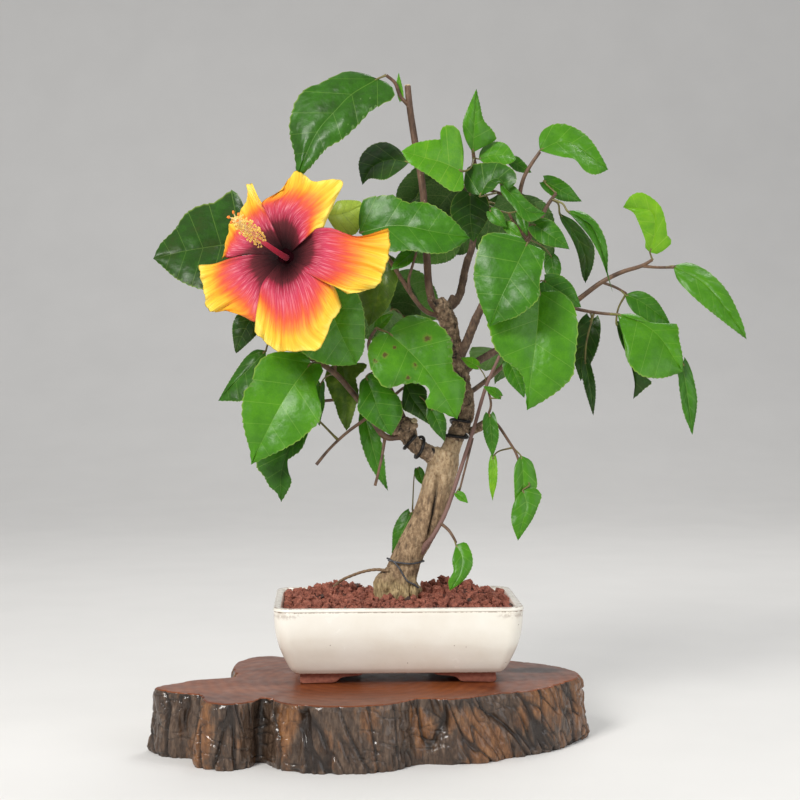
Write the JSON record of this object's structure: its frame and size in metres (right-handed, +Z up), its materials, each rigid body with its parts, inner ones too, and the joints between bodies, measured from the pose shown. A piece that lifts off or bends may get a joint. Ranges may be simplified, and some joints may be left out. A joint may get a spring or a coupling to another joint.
{
  "type": "flowering hibiscus bonsai in a pot",
  "caption": "Potted flowering hibiscus bonsai: a leaning trunk with toothed glossy leaves and a large bloom, in a rectangular glazed pot on a slab of natural wood.",
  "frame": {"origin": "on the flat underside of the wood slab, under the middle of the pot", "axes": "+Z up along the trunk's height, +X to the right, +Y away from the front, where the bloom faces -Y"},
  "size_m": [0.4706, 0.2436, 0.5371],
  "materials": {
    "slab_wood": "sawn faces oiled and polished red-brown, sides dark furrowed bark",
    "pot_glaze": "cream glaze with fine brown specks over brown clay, bare clay feet",
    "red_grit": "crushed red volcanic grit, rough and matte",
    "bark": "rough grey-brown bark, pale and flaking on the old wood",
    "young_bark": "smooth purplish young bark with pale dots",
    "training_wire": "dark anodised soft wire",
    "foliage": "glossy green leaf blades with pale veins",
    "petals": "satin petals, dark red eye through pink and orange to yellow margins"
  },
  "bodies": {
    "root": {"display_slab": "slab_wood", "pot": "pot_glaze", "soil": "red_grit", "trunk": "bark", "leader": "bark", "left_bough": "bark", "cut_stem": "young_bark", "upper_bough": "bark", "centre_bough": "bark", "right_bough": "bark", "foot_shoot": "young_bark", "wire_on_left_bough": "training_wire", "wire_on_leader": "training_wire", "bloom": "petals", "bloom_shoot": "foliage", "top_leaves": "foliage", "upper_leaves": "foliage", "upper_right_leaves": "foliage", "centre_leaves": "foliage", "right_leaves": "foliage", "left_centre_leaves": "foliage", "low_left_leaves": "foliage", "low_right_leaves": "foliage", "foot_leaf_right": "foliage", "foot_leaf_back": "foliage", "back_left_leaves": "foliage", "back_low_leaves": "foliage", "back_right_leaves": "foliage", "back_top_leaves": "foliage"}
  },
  "joints": []
}
